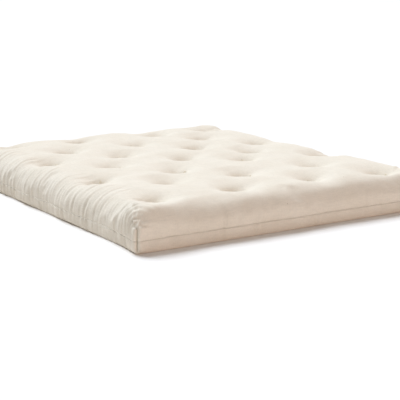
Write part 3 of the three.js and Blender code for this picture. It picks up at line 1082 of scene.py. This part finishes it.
def unbleached_calico():
    """Unbleached cotton calico, plain woven and not finished: a warm white, quite matt, with a dry
    nap that catches light at a glance, thick places in the yarn and a few flecks of cotton seed."""
    material, tree, shader = new_material("unbleached_calico", 0.93)
    place = add_node(tree, "ShaderNodeTexCoord").outputs["Object"]
    # The real threads lie 0.45 mm apart. They are drawn at 2.6 mm to show at all.
    threads = weave(tree, place, 0.0026)
    # Slubs, the thick places, are 1 mm wide and 20 to 40 mm long, and are drawn 3 mm wide.
    along = add_node(tree, "ShaderNodeMapping", Vector=place, Scale=(330, 30, 140)).outputs[0]
    across = add_node(tree, "ShaderNodeMapping", Vector=place, Scale=(30, 330, 140)).outputs[0]
    warp = add_node(tree, "ShaderNodeTexNoise", Vector=along, Scale=1.0, Detail=2.0).outputs["Fac"]
    weft = add_node(tree, "ShaderNodeTexNoise", Vector=across, Scale=1.0, Detail=2.0).outputs["Fac"]
    slubs = add_node(tree, "ShaderNodeMath", {"operation": "ADD"}, i0=warp, i1=weft).outputs[0]
    # The bale's own colour drifts over a hand's breadth.
    cloud = add_node(tree, "ShaderNodeTexNoise", Vector=place, Scale=7.0, Detail=3.0, Roughness=0.6)
    tone = add_node(tree, "ShaderNodeMix", {"data_type": "RGBA"}, i0=cloud.outputs["Fac"])
    tone.inputs[6].default_value = colour("#e9ddca")
    tone.inputs[7].default_value = colour("#f6ecdd")
    slub_range = {"From_Min": 0.65, "From_Max": 1.35, "To_Min": 0.93, "To_Max": 1.04}
    shade = add_node(tree, "ShaderNodeMapRange", Value=slubs, **slub_range).outputs[0]
    # Painted shade and light: the colour follows the weave's height, up to 3% darker in the hollows between
    # threads and 2% lighter on their crowns.
    weave_shade_range = {"From_Min": -WEAVE_HEIGHT, "From_Max": WEAVE_HEIGHT, "To_Min": 0.97, "To_Max": 1.02}
    weave_shade = add_node(tree, "ShaderNodeMapRange", Value=threads, **weave_shade_range).outputs[0]
    both = add_node(tree, "ShaderNodeMath", {"operation": "MULTIPLY"}, i0=shade, i1=weave_shade)
    yarn = add_node(tree, "ShaderNodeVectorMath", {"operation": "SCALE"}, i0=tone.outputs[2])
    tree.links.new(both.outputs[0], yarn.inputs["Scale"])
    # Seed flecks are about 1 mm across, one to a palm.
    cells = add_node(tree, "ShaderNodeTexVoronoi", Vector=place, Scale=11.0).outputs["Distance"]
    fleck_range = {"From_Min": 0.014, "From_Max": 0.030, "To_Min": 0.75, "To_Max": 0.0}
    fleck = add_node(tree, "ShaderNodeMapRange", Value=cells, **fleck_range)
    finish = add_node(tree, "ShaderNodeMix", {"data_type": "RGBA"}, i0=fleck.outputs[0], i6=yarn.outputs[0])
    finish.inputs[7].default_value = colour("#8c7453")
    tree.links.new(finish.outputs[2], shader.inputs["Base Color"])
    relief = add_node(tree, "ShaderNodeBump", Height=threads, Strength=0.20, Distance=0.0004).outputs[0]
    relief = add_node(tree, "ShaderNodeBump", Height=slubs, Strength=0.35, Distance=0.0010, Normal=relief)
    tree.links.new(relief.outputs[0], shader.inputs["Normal"])
    shader.inputs["Sheen Weight"].default_value = 0.14
    shader.inputs["Sheen Roughness"].default_value = 0.6
    shader.inputs["Specular IOR Level"].default_value = 0.25
    return material


def fibre(name, low, high, roughness, scale, stretch, sheen, bump_height):
    """Cotton as loose or twisted fibre: two tones in fine streaks, with soft fuzz."""
    material, tree, shader = new_material(name, roughness)
    place = add_node(tree, "ShaderNodeTexCoord").outputs["Object"]
    drawn = add_node(tree, "ShaderNodeMapping", Vector=place, Scale=stretch).outputs[0]
    streak = add_node(tree, "ShaderNodeTexNoise", Vector=drawn, Scale=scale, Detail=2.0).outputs["Fac"]
    ramp = add_node(tree, "ShaderNodeValToRGB", Fac=streak)
    ramp.color_ramp.elements[0].position = 0.3
    ramp.color_ramp.elements[0].color = colour(low)
    ramp.color_ramp.elements[1].position = 0.7
    ramp.color_ramp.elements[1].color = colour(high)
    tree.links.new(ramp.outputs[0], shader.inputs["Base Color"])
    fuzz = add_node(tree, "ShaderNodeBump", Height=streak, Strength=0.35, Distance=bump_height)
    tree.links.new(fuzz.outputs[0], shader.inputs["Normal"])
    shader.inputs["Sheen Weight"].default_value = sheen
    shader.inputs["Specular IOR Level"].default_value = 0.2
    return material


def carded_batting():
    """Carded raw cotton: combed into webs that lie along the mattress, creamy and quite matt. Its
    0.02 mm fibres are drawn as 3 mm wisps."""
    return fibre("carded_cotton", "#d8ccb4", "#f1e9d8", 1.0, 160.0, (1.0, 0.2, 1.6), 0.3, 0.0008)


def tufting_twine():
    """Waxed cotton twine of three strands, twisted: warm beige, darker between the strands."""
    return fibre("twisted_cotton_twine", "#d3c4a4", "#f6eedd", 0.8, 700.0, (1.0, 1.0, 0.5), 0.2, 0.00008)


def sewing_thread():
    """Spun sewing thread, tightly twisted and lightly glazed, a little darker than the cloth."""
    return fibre("spun_sewing_thread", "#d8cdb5", "#f3ecdc", 0.6, 900.0, (1.0, 1.0, 1.0), 0.1, 0.00004)


# Camera, floor and light


CAMERA_AT = (-2.815, -4.504, 1.102)
CAMERA_DOWN = 12.157  # degrees below the level
CAMERA_TURN = 32.874  # degrees from +Y towards +X
LENS = 95.94  # millimetres, on a sensor 36 mm wide
FLOOR_REACH = 60.0  # the floor goes so far that its edge is out of sight


def camera():
    """A long lens, so that the sides run together as little as they do from across a room."""
    data = bpy.data.cameras.new("camera")
    data.lens = LENS
    data.sensor_width = 36.0
    data.clip_end = 200.0
    holder = bpy.data.objects.new("camera", data)
    holder.location = CAMERA_AT
    holder.rotation_euler = (math.radians(90 - CAMERA_DOWN), 0, math.radians(-CAMERA_TURN))
    bpy.context.scene.collection.objects.link(holder)
    bpy.context.scene.camera = holder


def soft_light(name, towards, spread, power, tint):
    """Even light from far off, from a round source that spans spread degrees."""
    data = bpy.data.lights.new(name, "SUN")
    data.angle = math.radians(spread)
    data.energy = power
    data.color = tint
    light = bpy.data.objects.new(name, data)
    light.rotation_euler = Vector(towards).to_track_quat("Z", "Y").to_euler()
    bpy.context.scene.collection.objects.link(light)


def pale_floor():
    """A plain floor, painted matt in a pale grey that is barely warm."""
    mesh = bpy.data.meshes.new("floor")
    corners = [(FLOOR_REACH * x, FLOOR_REACH * y, 0) for x, y in ((-1, -1), (1, -1), (1, 1), (-1, 1))]
    mesh.from_pydata(corners, [], [(0, 1, 2, 3)])
    floor = bpy.data.objects.new("floor", mesh)
    bpy.context.scene.collection.objects.link(floor)
    material, _, shader = new_material("floor_paint", 0.9)
    shader.inputs["Base Color"].default_value = colour("#f6f2ee")
    mesh.materials.append(material)


def studio():
    """A dim warm room, a broad cool key light from behind and above, and a weak warm fill in
    front. Colours are linear."""
    world = bpy.data.worlds.new("studio")
    bpy.context.scene.world = world
    world.use_nodes = True
    back = world.node_tree.nodes["Background"]
    back.inputs["Color"].default_value = (0.98, 0.94, 0.88, 1.0)
    back.inputs["Strength"].default_value = 0.25
    soft_light("key", (0.0, 0.7, 1.0), 34, 3.72, (0.830, 0.910, 1.0))
    soft_light("warm_fill", (0.3, -1.0, 0.3), 40, 0.72, (1.0, 0.75, 0.68))
    bpy.context.scene.view_settings.view_transform = "Standard"


# Putting it together


def place_piece(piece, material, slot, *nodes):
    """Gives a piece its material, hangs it on the root body and hides the nodes that it stands for."""
    piece.data.materials.append(material)
    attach(piece, "root")
    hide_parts(*nodes)
    return piece


def corner_path(panels, corner):
    """The bottom of a corner's groove, up both panels from CORNER_LOW to CORNER_HIGH. panels gives
    each panel with its number of rings."""
    start = (0, TOP_NX, TOP_NX + TOP_NY, 2 * TOP_NX + TOP_NY)[corner]
    girth = 2 * (TOP_NX + TOP_NY)
    grid = (TOP_NX + 1) * (TOP_NY + 1)
    path = []
    for panel, levels in panels:
        places = places_of(panel.data)
        path += [places[grid + level * girth + start] for level in range(levels)]
    path = np.array(sorted(path, key=lambda point: point[2]))
    return path[(path[:, 2] > CORNER_LOW) & (path[:, 2] < CORNER_HIGH)]


SEAM_NODES = {
    "front": "seam_front_closing",
    "right": "seam_right",
    "back": "seam_back",
    "left": "seam_left",
}
CORNERS = ("front_left", "front_right", "back_right", "back_left")


def main():
    cloth = unbleached_calico()
    wadding = carded_batting()
    twine = tufting_twine()
    thread = sewing_thread()
    top = place_piece(top_panel(), cloth, "calico", "cover_top_panel")
    places = places_of(top.data)
    girth = 2 * (TOP_NX + TOP_NY)
    seam = (TOP_NX + 1) * (TOP_NY + 1) + (SIDE_LEVELS - 1) * girth
    edge = places[seam : seam + girth]
    under = place_piece(under_panel(edge), cloth, "calico", "cover_bottom_panel")
    for index, node in enumerate(LAYERS, start=1):
        sheet = place_piece(batting_sheet(index), wadding, "batting", node)
    for index, node in enumerate(TIES):
        place_piece(twine_tie(node, index, places), twine, "twine", node)
    for side, node in SEAM_NODES.items():
        tubes = overlock(side)
        if side == "front":
            tubes += closing_stitches(edge[: TOP_NX + 1])
        place_piece(joined(f"stitching_{side}_seam", tubes), thread, "thread", node)
    panels = ((top, SIDE_LEVELS), (under, UNDER_LEVELS))
    for corner, where in enumerate(CORNERS):
        stitches = corner_stitches(f"whipping_{where}_corner", corner_path(panels, corner))
        place_piece(stitches, thread, "thread", f"corner_seam_{where}")
    camera()
    pale_floor()
    studio()


main()
